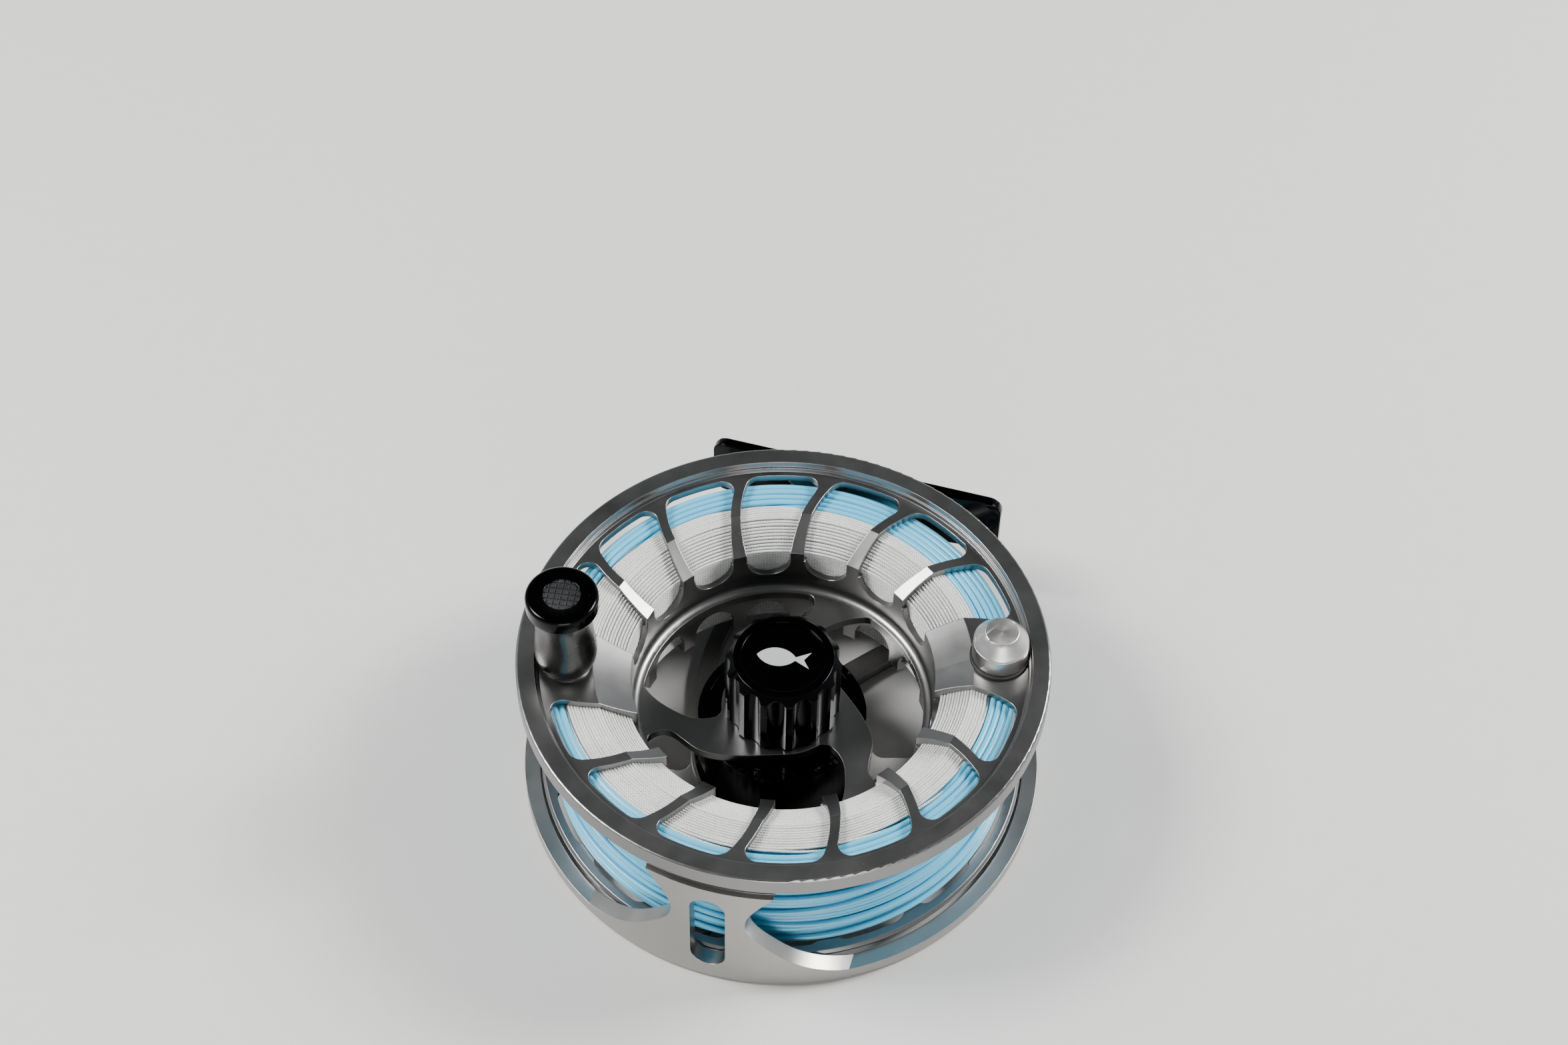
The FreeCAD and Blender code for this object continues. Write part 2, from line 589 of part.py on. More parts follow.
def spindle():
    """Bored steel spindle with a flange on the canister's floor and a slot for the cross pin."""
    z_flange = Z_FLOOR + SPINDLE_FLANGE[1]
    bar = disc(SPINDLE_R, CAP_T + 0.1, SPINDLE_H).fuse(disc(SPINDLE_FLANGE[0], Z_FLOOR, z_flange))
    bar = bar.cut(disc(SPINDLE_BORE, Z_PIN - PIN_R - PRESS_TRAVEL - 0.6, SPINDLE_H + 1))
    slot_low, slot_high = Z_PIN - PIN_R - PRESS_TRAVEL - 0.1, Z_PIN + PIN_R + 0.1
    bar = bar.cut(Part.makeBox(10, 2 * PIN_R + 0.1, slot_high - slot_low,
                               Vector(-5, -PIN_R - 0.05, slot_low)))
    groove = ring(SPINDLE_R - 0.45, SPINDLE_R + 1, SPINDLE_H - 2.4, SPINDLE_H - 1.6)
    return bar.cut(groove).removeSplitter()


def spindle_ring():
    """Ring in the spindle's groove that grips the sleeve and holds the spool on."""
    return ring(SPINDLE_R - 0.45, SPINDLE_R + 0.01, SPINDLE_H - 2.4, SPINDLE_H - 1.6)


def spindle_nut():
    """Nut in the recess at the back of the hub."""
    nut = hexagon(NUT_R * math.sqrt(3), CAP_T + 0.1, CAP_T + 0.1 + NUT_T)
    return nut.cut(disc(SPINDLE_R, 0, RING_T))


def back_cap():
    """Flush cap over the nut."""
    return disc(CAP_R - 0.03, 0.0, CAP_T)


def housing_screws():
    """Three countersunk screws up through the hub into the canister's floor."""
    screw = countersunk(HOUSING_SCREW_R, 2.4, 1.2, Z_FLOOR - 0.6)
    screw = screw.mirror(Vector(0, 0, 0), Vector(0, 0, 1))
    return Part.makeCompound(around(moved(screw, polar(HOUSING_SCREW_PCR, 0)), 3, 30))


def fixed_discs():
    """Steel drag discs held by the spindle."""
    out = DRUM_IN - 0.7
    return Part.makeCompound([ring(SPINDLE_R + RUN, out, z, z + DISC_T)
                              for z in (Z_STACK + 2 * i * DISC_PITCH for i in range(DISC_PAIRS))])


def rotor_discs():
    """Carbon drag discs that turn with the drum."""
    first = Z_STACK + DISC_PITCH
    return Part.makeCompound([ring(SPINDLE_FLANGE[0] + 0.6, DRUM_IN, z, z + DISC_T)
                              for z in (first + 2 * i * DISC_PITCH for i in range(DISC_PAIRS))])


def pressure_plate():
    """Plate that squeezes the disc stack."""
    return ring(SPINDLE_R + RUN, DRUM_IN - 0.7, Z_PLATE, Z_PLATE + PLATE_T)


def drag_spring():
    """Coned spring washer under the collar."""
    h, t = SPRING_H, 0.7
    return turned([(SPINDLE_R + 0.4, Z_SPRING + h - t), (6.4, Z_SPRING), (6.9, Z_SPRING),
                   (6.9, Z_SPRING + t * 0.5), (SPINDLE_R + 0.9, Z_SPRING + h),
                   (SPINDLE_R + 0.4, Z_SPRING + h)])


def thrust_collar():
    """Collar between the cross pin and the spring."""
    return ring(SPINDLE_R + RUN, PIN_L / 2 + 0.5, Z_COLLAR, Z_COLLAR + COLLAR_T)


def push_rod():
    """Rod down the spindle from the knob to the cross pin."""
    rod = disc(SPINDLE_BORE - 0.05, Z_PIN - PIN_R - 0.3, SPINDLE_H + 0.4)
    return rod.cut(cross_pin())


def cross_pin():
    """Pin across the rod that presses on the collar."""
    return Part.makeCylinder(PIN_R, PIN_L, Vector(-PIN_L / 2, 0, Z_PIN), Vector(1, 0, 0))


def drag_drum():
    """Drum that carries the rotor discs."""
    drum = ring(DRUM_IN, DRUM_R, Z_STACK, Z_DRUM_TOP)
    return drum.fuse(ring(CLUTCH_R[1], DRUM_R, Z_DRUM_TOP - DRUM_WALL, Z_DRUM_TOP)).removeSplitter()


def clutch_bearing():
    """One-way clutch between the drum and the drive hub."""
    return ring(CLUTCH_R[0], CLUTCH_R[1], Z_DRUM_TOP - DRUM_WALL, Z_DRUM_TOP)


def drive_hub():
    """Hub whose dogs stand in the slots under the spool."""
    hub = ring(DRIVE_BORE, CLUTCH_R[0], Z_DRUM_TOP - DRUM_WALL, Z_DRIVE_TOP)
    hub = hub.fuse(ring(DRIVE_BORE, DRIVE_R, Z_LID - 0.6, Z_DRIVE_TOP))
    dog = Part.makeBox(3, DOG_W, DOG_H, Vector(DOG_R[0] - 0.6, -DOG_W / 2, Z_DRIVE_TOP - 0.1))
    dog = dog.common(ring(DOG_R[0], DOG_R[1], Z_DRIVE_TOP - 0.2, Z_DRIVE_TOP + DOG_H))
    for one in around(dog, DOGS, SPOOL_TURN):
        hub = hub.fuse(one)
    return hub.removeSplitter()


def bearing_sleeve():
    """Sleeve that slides on the spindle and carries the spool's bearings and the knob."""
    return ring(SPINDLE_R + RUN, SLEEVE_R, Z_SLEEVE, Z_SLEEVE_TOP)


# ---- frame ------------------------------------------------------------------------------------
def arch_outline(top):
    """Waisted outline of an arch in the XZ plane, from the frame ring up to its shoulder."""
    right = [(12.5, 1.0), (9.4, 0.85), (7.3, 0.643), (8.3, 0.507), (11.2, 0.368), (15.4, 0.207),
             (20.0, 0.089), (26.5, 0.0)]     # half width, share of the height over the ring
    half = [Vector(x, 0, RING_T + share * (top - RING_T)) for x, share in right]
    other = [Vector(-p.x, 0, p.z) for p in reversed(half)]
    low = [Vector(26.5, 0, RING_EDGE), Vector(-26.5, 0, RING_EDGE)]
    edges = [spline(half), line(half[-1], low[0]), line(low[0], low[1]), line(low[1], other[0]),
             spline(other), line(other[-1], half[0])]
    return Part.Face(Part.Wire(edges))


def arch(side):
    """Curved wall that rises from the ring, at +Y for side 1 and at -Y for side -1."""
    top = DEPTH - ARCH_DROP
    block = moved(arch_outline(top).extrude(Vector(0, RIM_R, 0)), Vector(0, RIM_R / 2, 0))
    wall = ring(ARCH_WALL_R, RIM_R, RING_EDGE, top + 1).common(block)
    lip_top = DEPTH - RIM_SKIRT - TONGUE_GAP
    lip = ring(TONGUE_R[0], TONGUE_R[1], top - 1, lip_top)
    lip = lip.common(Part.makeBox(24.6, RIM_R, 20, Vector(-12.3, RIM_R / 2, top - 1)))
    return spun(wall.fuse(lip), 0 if side > 0 else 180)


def spoke_pocket(left, right, z0, z1):
    """Opening between two neighbouring spokes; each spoke is its angles at hub and ring."""
    def edge(spoke, sign):
        hub = polar(FRAME_HUB_R, spoke[0] + sign * math.degrees(SPOKE_W * 0.62 / FRAME_HUB_R))
        out = polar(RING_IN_R, spoke[1] + sign * math.degrees(SPOKE_W * 0.62 / RING_IN_R))
        r_mid = 0.45 * FRAME_HUB_R + 0.55 * RING_IN_R
        a_mid = 0.36 * spoke[0] + 0.64 * spoke[1] + sign * math.degrees(SPOKE_W / 2 / r_mid)
        return hub, polar(r_mid, a_mid), out
    a_hub, a_mid, a_out = edge(left, 1)
    b_hub, b_mid, b_out = edge(right, -1)
    mid_out = polar(RING_IN_R, (left[1] + right[1]) / 2)
    mid_hub = polar(FRAME_HUB_R, (left[0] + right[0]) / 2)
    edges = [arc(a_hub, a_mid, a_out), arc(a_out, mid_out, b_out), arc(b_out, b_mid, b_hub),
             arc(b_hub, mid_hub, a_hub)]
    return round_upright(prism(edges, z0, z1), 2.5)


def frame():
    """Back plate with its ring, spokes and hub, the line guard and the foot bridge."""
    plate = turned([(0, 0), (RIM_R - RING_EDGE, 0), (RIM_R, RING_EDGE), (RIM_R, RING_T), (0, RING_T)])
    ordered = sorted(SPOKES)
    for i, left in enumerate(ordered):
        right = ordered[(i + 1) % len(ordered)]
        if i == len(ordered) - 1:
            right = (right[0] + 360, right[1] + 360)
        plate = plate.cut(spoke_pocket(left, right, -1, RING_T + 1))
    plate = plate.cut(ring(DRAG_FOOT_R + 0.6, RING_IN_R, SPOKE_T, RING_T + 1))
    body = plate.fuse(arch(1)).fuse(arch(-1)).fuse(foot_pad())
    body = body.cut(guard_slot())
    body = body.cut(disc(CAP_R, -1, CAP_T + 0.1)).cut(disc(NUT_R + 0.6, -1, CAP_T + NUT_T + 0.2))
    body = body.cut(disc(SPINDLE_R, -1, RING_T + 1))
    return body.cut(housing_screws()).cut(foot_screws())


def guard_slot():
    """Round-ended slot through the line guard."""
    half, low, high = GUARD_SLOT_W / 2, GUARD_SLOT_LOW, GUARD_SLOT_HIGH
    box = Part.makeBox(GUARD_SLOT_W, 20, high - low - GUARD_SLOT_W,
                       Vector(-half, -RIM_R - 5, low + half))
    for z in (low + half, high - half):
        box = box.fuse(Part.makeCylinder(half, 20, Vector(0, -RIM_R - 5, z), Vector(0, 1, 0)))
    return box


def foot_centre_z():
    """Middle of the foot along the spool axis."""
    return DEPTH - 18.0


def foot_pad():
    """Block on the foot bridge that the foot is screwed to."""
    z = foot_centre_z() - PAD_W / 2
    block = Part.makeBox(PAD_L, FOOT_TOP - FOOT_T - ARCH_WALL_R, PAD_W,
                         Vector(-PAD_L / 2, ARCH_WALL_R, z))
    edges = [e for e in block.Edges if abs(e.Vertexes[0].Point.y - e.Vertexes[-1].Point.y) > 1]
    block = block.makeFillet(2.5, edges)
    return block.cut(disc(ARCH_WALL_R, 0, DEPTH))


def reel_foot():
    """Standard foot plate with rounded corners and thinned ends."""
    z0 = foot_centre_z() - FOOT_W / 2
    half, y1 = FOOT_L / 2, FOOT_TOP
    y0 = y1 - FOOT_T
    side = [Vector(-half, y1, z0), Vector(half, y1, z0), Vector(half, y1 - 1.9, z0),
            Vector(PAD_L / 2 + 2, y0, z0), Vector(-PAD_L / 2 - 2, y0, z0),
            Vector(-half, y1 - 1.9, z0)]
    plate = Part.Face(Part.makePolygon(side + side[:1])).extrude(Vector(0, 0, FOOT_W))
    ends = [e for e in plate.Edges
            if abs(e.Vertexes[0].Point.x - e.Vertexes[-1].Point.x) < 1e-6
            and abs(e.Vertexes[0].Point.z - e.Vertexes[-1].Point.z) < 1e-6
            and abs(abs(e.Vertexes[0].Point.x) - half) < 0.01]
    plate = plate.makeFillet(FOOT_CORNER, ends)
    return plate.cut(foot_screws())


def foot_screws():
    """Two countersunk screws through the foot into the block."""
    screw = countersunk(FOOT_SCREW_R, 2.9, 1.5, 7.5)
    screw.rotate(Vector(0, 0, 0), Vector(1, 0, 0), -90)
    place = Vector(0, FOOT_TOP - 0.1, foot_centre_z())
    return Part.makeCompound([moved(screw, place + Vector(x, 0, 0))
                              for x in (-FOOT_SCREW_X, FOOT_SCREW_X)])


PIECES = {
    "frame": frame, "reel_foot": reel_foot, "foot_screws": foot_screws,
    "drag_housing": drag_housing, "drag_lid": drag_lid, "drag_seal": drag_seal,
    "housing_screws": housing_screws, "spindle": spindle, "spindle_ring": spindle_ring,
    "spindle_nut": spindle_nut, "back_cap": back_cap, "fixed_discs": fixed_discs,
    "pressure_plate": pressure_plate, "drag_spring": drag_spring,
    "thrust_collar": thrust_collar, "push_rod": push_rod, "cross_pin": cross_pin,
    "drag_drum": drag_drum, "rotor_discs": rotor_discs, "clutch_bearing": clutch_bearing,
    "drive_hub": drive_hub, "bearing_sleeve": bearing_sleeve,
    "spool": spool, "backing": backing, "fly_line": fly_line,
    "front_bearing": lambda: bearing(FRONT_BEARING_Z),
    "rear_bearing": lambda: bearing(REAR_BEARING_Z), "bearing_circlip": bearing_circlip,
    "handle_post": handle_post, "handle_screw": handle_screw, "handle_grip": handle_grip,
    "handle_bushes": handle_bushes, "handle_cap": handle_cap, "handle_insert": handle_insert,
    "counterweight": counterweight, "counterweight_seal": counterweight_seal,
    "counterweight_screw": counterweight_screw, "knob": knob, "knob_insert": knob_insert,
    "knob_disc": knob_disc, "knob_mark": knob_mark}

os.makedirs("parts", exist_ok=True)
for name, build in PIECES.items():
    shape = build()
    shape.exportStep("parts/" + name + ".step")
    print(name, len(shape.Solids), round(shape.Volume, 2), shape.isValid())
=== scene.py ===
"""Looks of a large-arbour fly reel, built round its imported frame.  Metres, spool axis along Z."""
import json
import logging
import math
from dataclasses import dataclass, field

import bmesh
import bpy
import numpy as np
from mathutils import Matrix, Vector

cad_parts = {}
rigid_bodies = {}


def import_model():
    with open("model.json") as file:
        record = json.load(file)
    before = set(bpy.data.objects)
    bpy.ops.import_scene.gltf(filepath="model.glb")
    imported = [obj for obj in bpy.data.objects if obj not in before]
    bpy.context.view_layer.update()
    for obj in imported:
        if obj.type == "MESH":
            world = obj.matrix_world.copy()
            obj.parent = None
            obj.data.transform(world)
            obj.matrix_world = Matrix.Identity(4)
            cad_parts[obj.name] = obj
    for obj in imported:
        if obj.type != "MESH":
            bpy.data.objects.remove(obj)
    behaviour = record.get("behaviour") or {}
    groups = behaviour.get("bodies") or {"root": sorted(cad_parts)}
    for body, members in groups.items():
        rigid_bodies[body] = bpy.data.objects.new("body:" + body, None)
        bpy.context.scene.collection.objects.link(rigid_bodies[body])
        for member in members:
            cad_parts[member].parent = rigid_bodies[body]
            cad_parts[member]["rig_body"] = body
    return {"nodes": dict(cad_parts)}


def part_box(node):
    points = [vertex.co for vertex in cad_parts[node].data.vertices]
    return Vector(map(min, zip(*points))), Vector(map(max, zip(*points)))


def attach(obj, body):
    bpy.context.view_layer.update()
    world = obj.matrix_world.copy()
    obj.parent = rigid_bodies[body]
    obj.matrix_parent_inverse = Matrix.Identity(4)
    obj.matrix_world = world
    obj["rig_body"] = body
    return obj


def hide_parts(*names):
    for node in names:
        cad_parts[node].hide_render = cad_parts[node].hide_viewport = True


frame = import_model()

LOG = logging.getLogger("reel")
MM = 0.001
FULL_TURN = 2 * math.pi


# ---- surfaces ---------------------------------------------------------------------------------
@dataclass
class Surface:
    """A quad grid or a set of them, with one UV pair for each corner of each face."""

    points: np.ndarray
    quads: np.ndarray
    uvs: np.ndarray

    def joined(self, other: "Surface") -> "Surface":
        """Both surfaces as one."""
        quads = np.vstack([self.quads, other.quads + len(self.points)])
        return Surface(np.vstack([self.points, other.points]), quads, np.vstack([self.uvs, other.uvs]))

    def to_object(self, name: str) -> bpy.types.Object:
        """Make the mesh object.

        Args:
            name: what the piece is called.

        Returns:
            The object, linked to the scene and shaded smooth.
        """
        mesh = bpy.data.meshes.new(name)
        mesh.from_pydata(self.points.tolist(), [], self.quads.tolist())
        layer = mesh.uv_layers.new(name="UVMap")
        layer.data.foreach_set("uv", self.uvs.astype(np.float32).ravel())
        mesh.polygons.foreach_set("use_smooth", np.ones(len(mesh.polygons), bool))
        mesh.update()
        item = bpy.data.objects.new(name, mesh)
        bpy.context.scene.collection.objects.link(item)
        return item


def closed_grid(points: np.ndarray, length_u: float) -> tuple[np.ndarray, np.ndarray]:
    """Quads and UVs of a grid that closes on itself both ways.

    Args:
        points: array of shape (rows, columns, 3); rows go round the long way.
        length_u: what U reaches once round the long way.

    Returns:
        The quads, and the UV pair of each of their corners.
    """
    rows, cols = points.shape[:2]
    i, j = np.meshgrid(np.arange(rows), np.arange(cols), indexing="ij")
    i2, j2 = (i + 1) % rows, (j + 1) % cols
    quads = np.stack([i * cols + j, i2 * cols + j, i2 * cols + j2, i * cols + j2], -1)
    u0, u1 = i / rows * length_u, (i + 1) / rows * length_u
    v0, v1 = j / cols, (j + 1) / cols
    corner = [np.stack(pair, -1) for pair in ((u0, v0), (u1, v0), (u1, v1), (u0, v1))]
    return quads.reshape(-1, 4), np.stack(corner, 2).reshape(-1, 2)


def ring_strand(radius: np.ndarray, height: np.ndarray, thick: float, sides: int,
                picks: float) -> Surface:
    """One turn of line as a closed tube.

    The centre line is (r cos a, r sin a, z) with r and z given at even steps of the angle a.
    Round it goes a circle in the plane of the radius and Z, so the section is
    (r + t cos b, z + t sin b) for b once round, t being half the line's thickness.

    Args:
        radius: distance of the centre line from the axis at each step.
        height: height of the centre line at each step.
        thick: the line's diameter.
        sides: points round the section.
        picks: pattern repeats along one metre, which U counts.

    Returns:
        The tube.
    """
    a = np.linspace(0, FULL_TURN, len(radius), endpoint=False)[:, None]
    b = np.linspace(0, FULL_TURN, sides, endpoint=False)[None, :]
    r = radius[:, None] + thick / 2 * np.cos(b)
    z = height[:, None] + thick / 2 * np.sin(b)
    points = np.stack([r * np.cos(a), r * np.sin(a), z], -1)
    quads, uvs = closed_grid(points, round(float(radius.mean()) * FULL_TURN * picks))
    return Surface(points.reshape(-1, 3), quads, uvs)


def lathe(profile: list[tuple[float, float]], steps: int, picks: float) -> Surface:
    """Closed outline of (radius, height) corners carried once round the axis.

    Args:
        profile: corners, with the solid on the left hand going along them.
        steps: divisions round the axis.
        picks: pattern repeats along one metre.

    Returns:
        The closed ring surface.
    """
    outline = np.array(profile)
    a = np.linspace(0, FULL_TURN, steps, endpoint=False)[:, None]
    r, z = outline[None, :, 0], outline[None, :, 1]
    points = np.stack([r * np.cos(a), r * np.sin(a), z + 0 * a], -1)
    quads, uvs = closed_grid(points, round(float(outline[:, 0].mean()) * FULL_TURN * picks))
    return Surface(points.reshape(-1, 3), quads, uvs)


def applied(item: bpy.types.Object) -> None:
    """Swap an object's mesh for the one that its modifiers give."""
    ready = item.evaluated_get(bpy.context.evaluated_depsgraph_get())
    mesh = bpy.data.meshes.new_from_object(ready)
    item.modifiers.clear()
    old, item.data = item.data, mesh
    bpy.data.meshes.remove(old)


def softened(node: str, name: str, width: float, crease_deg: float = 28.0,
             steps: int = 2) -> bpy.types.Object:
    """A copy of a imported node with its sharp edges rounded, which stands for the node.

    Args:
        node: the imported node.
        name: what the copy is called.
        width: how far the rounding reaches from each edge.
        crease_deg: edges sharper than this are rounded.
        steps: faces across the rounding.

    Returns:
        The copy, riding on the node's body.
    """
    source = frame["nodes"][node]
    work = bmesh.new()
    work.from_mesh(source.data)
    bmesh.ops.remove_doubles(work, verts=work.verts, dist=2e-6)
    bmesh.ops.dissolve_degenerate(work, edges=work.edges, dist=2e-6)
    mesh = bpy.data.meshes.new(name)
    work.to_mesh(mesh)
    work.free()
    mesh.polygons.foreach_set("use_smooth", np.ones(len(mesh.polygons), bool))
    mesh.set_sharp_from_angle(angle=math.radians(crease_deg))
    item = bpy.data.objects.new(name, mesh)
    bpy.context.scene.collection.objects.link(item)
    bevel = item.modifiers.new("rounded edges", "BEVEL")
    bevel.width = width
    bevel.segments = steps
    bevel.limit_method = "ANGLE"
    bevel.angle_limit = math.radians(crease_deg)
    bevel.use_clamp_overlap = False
    bevel.harden_normals = True
    applied(item)
    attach(item, source["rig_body"])
    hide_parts(node)
    return item


# ---- shader graphs ----------------------------------------------------------------------------
class Graph:
    """A thin hand on a node tree: makes nodes, sets their inputs and links them."""

    def __init__(self, tree: bpy.types.NodeTree) -> None:
        """Start on a tree with its nodes cleared."""
        self.tree = tree
        tree.nodes.clear()

    def node(self, kind: str, inputs: dict | None = None, **settings: object) -> bpy.types.Node:
        """Add a node.

        Args:
            kind: the node's type name after "ShaderNode".
            inputs: socket name or index to a value or an output socket to link from.
            settings: properties of the node.

        Returns:
            The node.
        """
        made = self.tree.nodes.new(kind if kind.startswith("Node") else "ShaderNode" + kind)
        for key, value in settings.items():
            setattr(made, key, value)
        for key, value in (inputs or {}).items():
            socket = made.inputs[key]
            if isinstance(value, bpy.types.NodeSocket):
                self.tree.links.new(value, socket)
            else:
                socket.default_value = value
        return made

    def math(self, operation: str, *values: object) -> bpy.types.NodeSocket:
        """Result of a Math node on one to three values."""
        made = self.node("Math", dict(enumerate(values)), operation=operation)
        return made.outputs[0]

    def ramp(self, fac: bpy.types.NodeSocket, low: float, high: float, out_low: float = 0.0,
             out_high: float = 1.0) -> bpy.types.NodeSocket:
        """A value carried from one range to another and held at its ends."""
        made = self.node("MapRange", {"Value": fac, "From Min": low, "From Max": high,
                                      "To Min": out_low, "To Max": out_high})
        return made.outputs["Result"]

    def mix(self, fac: object, a: object, b: object) -> bpy.types.NodeSocket:
        """A blend of two colours."""
        made = self.node("Mix", {0: fac, 6: a, 7: b}, data_type="RGBA")
        return made.outputs[2]


def shade(rgb: tuple[float, float, float]) -> tuple[float, float, float, float]:
    """A colour with full alpha."""
    return (rgb[0], rgb[1], rgb[2], 1.0)


class Effects:
    """Node groups that more than one finish uses, each built once."""

    _made: dict[str, bpy.types.NodeTree] = {}

    @classmethod
    def _new(cls, name: str, ins: dict[str, float], outs: list[str]) -> tuple[bpy.types.NodeTree, Graph]:
        """An empty group with float inputs and outputs."""
        tree = bpy.data.node_groups.new(name, "ShaderNodeTree")
        for label, value in ins.items():
            socket = tree.interface.new_socket(label, in_out="INPUT", socket_type="NodeSocketFloat")
            socket.default_value = value
        for label in outs:
            tree.interface.new_socket(label, in_out="OUTPUT", socket_type="NodeSocketFloat")
        cls._made[name] = tree
        return tree, Graph(tree)

    @classmethod
    def grain(cls) -> bpy.types.NodeTree:
        """Fine blasted grain: two noises of a given size, as a height and as a broad stain."""
        if "grain" in cls._made:
            return cls._made["grain"]
        tree, g = cls._new("grain", {"Scale": 4000.0, "Stain Scale": 60.0}, ["Height", "Stain"])
        start = g.node("NodeGroupInput")
        place = g.node("TexCoord").outputs["Object"]
        fine = g.node("TexNoise", {"Vector": place, "Scale": start.outputs["Scale"], "Detail": 3.0})
        broad = g.node("TexNoise", {"Vector": place, "Scale": start.outputs["Stain Scale"],
                                    "Detail": 4.0, "Roughness": 0.6})
        g.node("NodeGroupOutput", {"Height": fine.outputs["Fac"], "Stain": broad.outputs["Fac"]})
        return tree

    @classmethod
    def turning(cls) -> bpy.types.NodeTree:
        """Lathe marks: a wave of the distance from an upright axis, uneven in depth."""
        if "turning" in cls._made:
            return cls._made["turning"]
        tree, g = cls._new("turning", {"Centre X": 0.0, "Centre Y": 0.0, "Pitch": 1e-4}, ["Height"])
        start = g.node("NodeGroupInput")
        split = g.node("SeparateXYZ", {0: g.node("TexCoord").outputs["Object"]})
        dx = g.math("SUBTRACT", split.outputs[0], start.outputs["Centre X"])
        dy = g.math("SUBTRACT", split.outputs[1], start.outputs["Centre Y"])
        far = g.math("SQRT", g.math("ADD", g.math("MULTIPLY", dx, dx), g.math("MULTIPLY", dy, dy)))
        both = g.math("ADD", far, g.math("MULTIPLY", split.outputs[2], 0.9))
        turns = g.math("DIVIDE", both, start.outputs["Pitch"])
        wave = g.math("SINE", g.math("MULTIPLY", turns, FULL_TURN))
        uneven = g.node("TexNoise", {"W": turns, "Scale": 0.37, "Detail": 2.0},
                        noise_dimensions="1D").outputs["Fac"]
        g.node("NodeGroupOutput", {"Height": g.math("MULTIPLY", wave, uneven)})
        return tree

    @classmethod
    def dust(cls) -> bpy.types.NodeTree:
        """Sparse specks: the middles of a few cells picked at random from a cell pattern."""
        if "dust" in cls._made:
            return cls._made["dust"]
        tree, g = cls._new("dust", {"Scale": 620.0, "Share": 0.045}, ["Mask"])
        start = g.node("NodeGroupInput")
        place = g.node("TexCoord").outputs["Object"]
        cells = g.node("TexVoronoi", {"Vector": place, "Scale": start.outputs["Scale"]})
        pick = g.node("SeparateXYZ", {0: cells.outputs["Color"]}).outputs[0]
        few = g.math("LESS_THAN", pick, start.outputs["Share"])
        speck = g.ramp(cells.outputs["Distance"], 0.05, 0.12, 1.0, 0.0)
        g.node("NodeGroupOutput", {"Mask": g.math("MULTIPLY", few, speck)})
        return tree

    @classmethod
    def edge_wear_and_highlight(cls) -> bpy.types.NodeTree:
        """Lighter edges, partly wear and partly painted highlight: where the rounded normal leaves the
        face's own, at inner corners as well as outer edges, broken up by a noise.
        """
        if "edge_wear_and_highlight" in cls._made:
            return cls._made["edge_wear_and_highlight"]
        tree, g = cls._new("edge_wear_and_highlight", {"Agreement": 1.0, "Flat": 0.995, "Edge": 0.93}, ["Mask"])
        start = g.node("NodeGroupInput")
        place = g.node("TexCoord").outputs["Object"]
        patch = g.node("TexNoise", {"Vector": place, "Scale": 260.0, "Detail": 3.0}).outputs["Fac"]
        edge = g.node("MapRange", {"Value": start.outputs["Agreement"],
                                   "From Min": start.outputs["Flat"],
                                   "From Max": start.outputs["Edge"]}).outputs["Result"]
        g.node("NodeGroupOutput", {"Mask": g.math("MULTIPLY", edge, g.ramp(patch, 0.3, 0.6))})
        return tree


@dataclass(frozen=True)
class Finish:
    """What every finish has: a name, a colour and how rough it is."""

    name: str
    colour: tuple[float, float, float]
    roughness: float

    def start(self) -> tuple[bpy.types.Material, Graph, bpy.types.Node]:
        """A material with a Principled shader wired to its output.

        Returns:
            The material, the hand on its nodes and the shader node.
        """
        material = bpy.data.materials.new(self.name)
        material.use_nodes = True
        g = Graph(material.node_tree)
        shader = g.node("BsdfPrincipled", {"Base Color": shade(self.colour),
                                           "Roughness": self.roughness})
        g.node("OutputMaterial", {"Surface": shader.outputs[0]})
        return material, g, shader

    @staticmethod
    def group(g: Graph, tree: bpy.types.NodeTree, inputs: dict | None = None) -> bpy.types.Node:
        """Place a shared effect in a material."""
        made = g.node("Group")
        made.node_tree = tree
        for key, value in (inputs or {}).items():
            if isinstance(value, bpy.types.NodeSocket):
                g.tree.links.new(value, made.inputs[key])
            else:
                made.inputs[key].default_value = value
        return made


